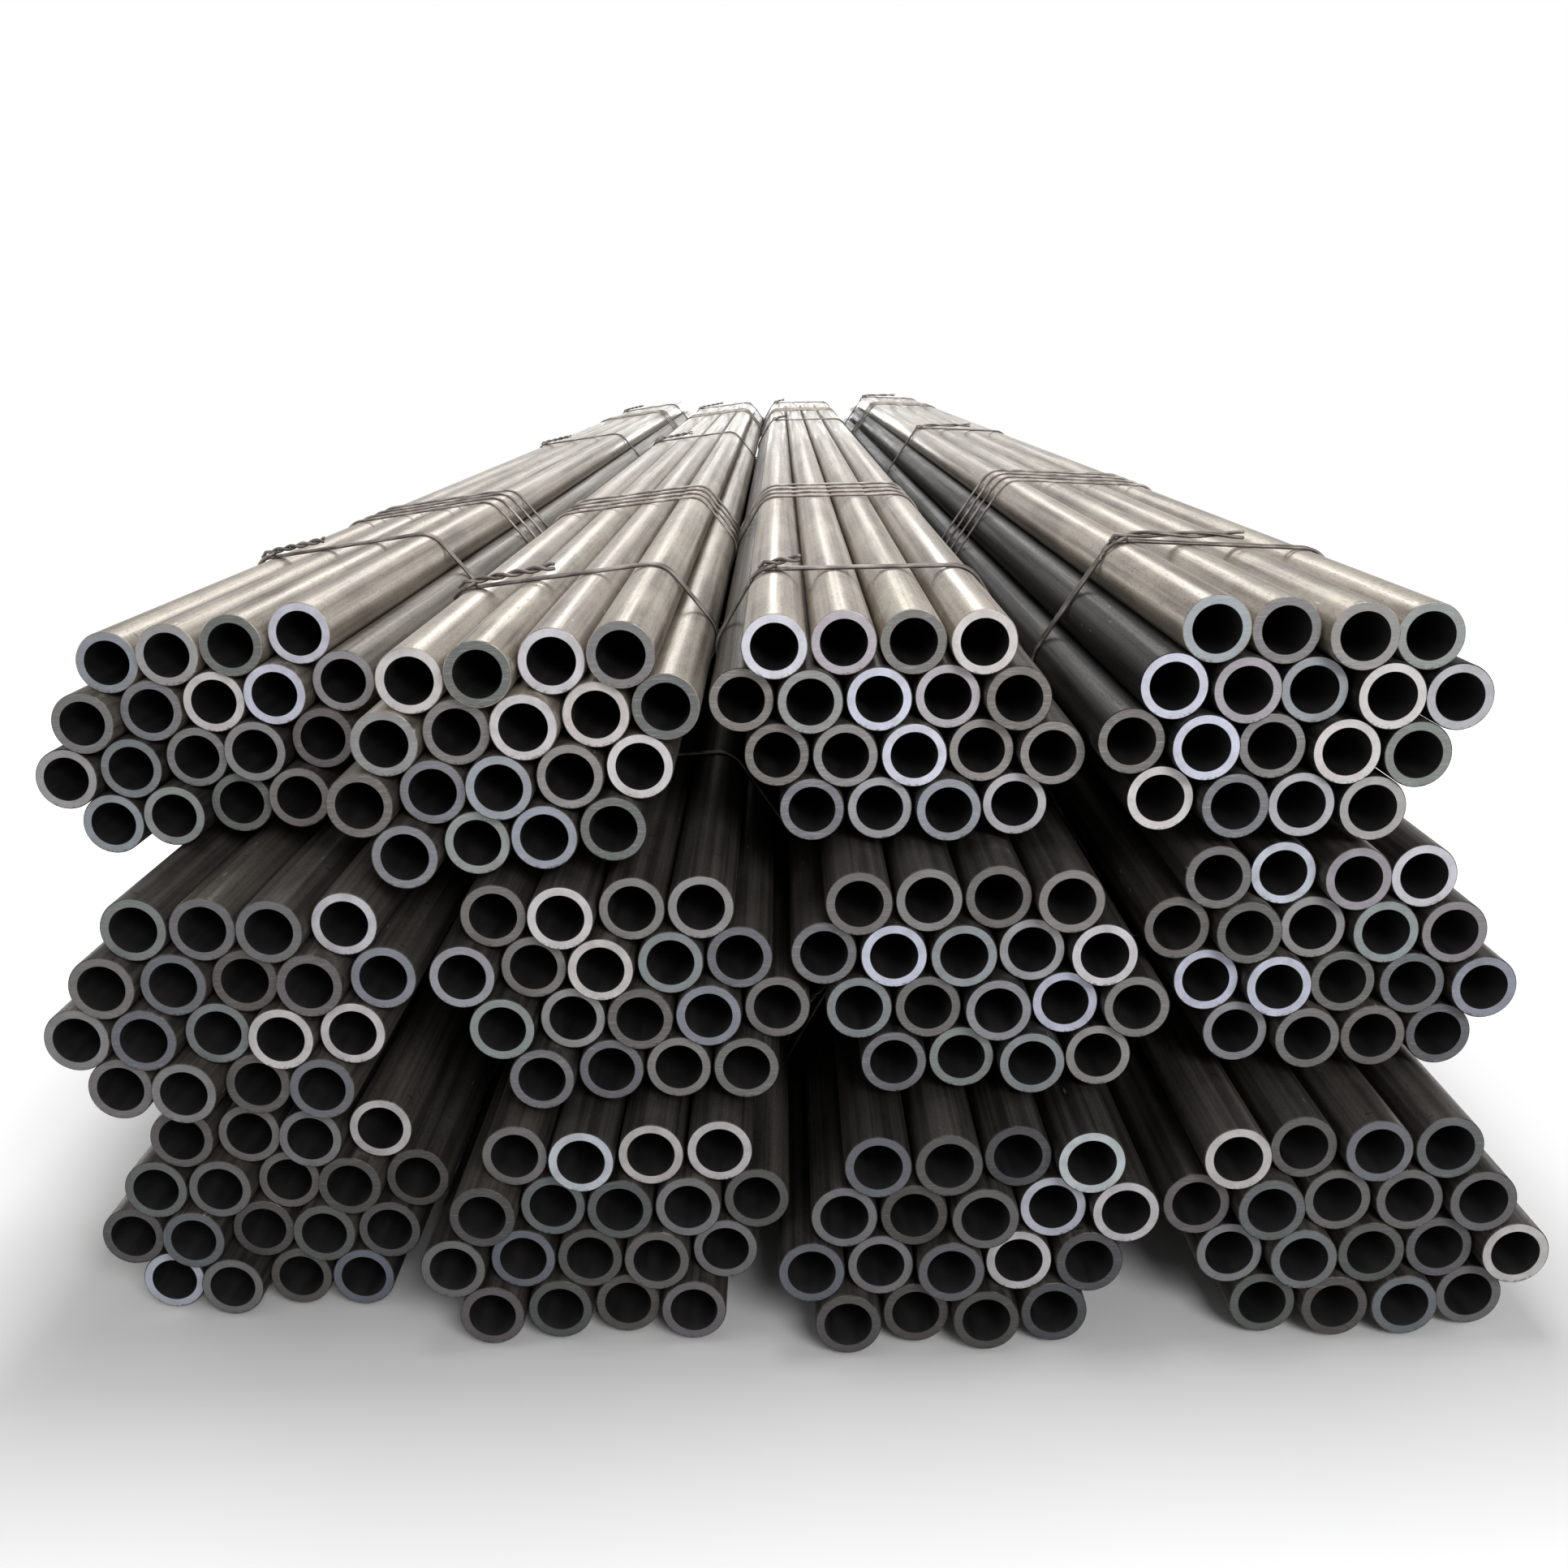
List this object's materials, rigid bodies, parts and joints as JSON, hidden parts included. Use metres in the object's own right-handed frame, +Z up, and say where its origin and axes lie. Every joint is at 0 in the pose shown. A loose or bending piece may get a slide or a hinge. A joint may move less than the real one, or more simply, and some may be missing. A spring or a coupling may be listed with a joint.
{
  "type": "steel pipe stack",
  "caption": "Stack of long seamless steel pipes, tied with wire into bundles that lie in tiers on the floor.",
  "frame": {"origin": "on the floor in the middle of the stack", "axes": "+Z up, +Y along the pipes to the rear ends, +X to the right seen from the front ends"},
  "size_m": [1.4026, 6.2438, 0.7058],
  "materials": {
    "pipe_steel": "mill scale, dull",
    "tie_wire": "annealed, dull"
  },
  "bodies": {
    "root": {"low_1_pipes": "pipe_steel", "low_1_ties": "tie_wire", "low_1_wraps": "tie_wire", "low_2_pipes": "pipe_steel", "low_2_ties": "tie_wire", "low_2_wraps": "tie_wire", "low_3_pipes": "pipe_steel", "low_3_ties": "tie_wire", "low_3_wraps": "tie_wire", "low_4_pipes": "pipe_steel", "low_4_ties": "tie_wire", "low_4_wraps": "tie_wire", "middle_1_pipes": "pipe_steel", "middle_1_ties": "tie_wire", "middle_1_wraps": "tie_wire", "middle_2_pipes": "pipe_steel", "middle_2_ties": "tie_wire", "middle_2_wraps": "tie_wire", "middle_3_pipes": "pipe_steel", "middle_3_ties": "tie_wire", "middle_3_wraps": "tie_wire", "middle_4_pipes": "pipe_steel", "middle_4_ties": "tie_wire", "middle_4_wraps": "tie_wire", "top_1_pipes": "pipe_steel", "top_1_ties": "tie_wire", "top_1_wraps": "tie_wire", "top_2_pipes": "pipe_steel", "top_2_ties": "tie_wire", "top_2_wraps": "tie_wire", "top_3_pipes": "pipe_steel", "top_3_ties": "tie_wire", "top_3_wraps": "tie_wire", "top_4_pipes": "pipe_steel", "top_4_ties": "tie_wire", "top_4_wraps": "tie_wire"}
  },
  "joints": []
}
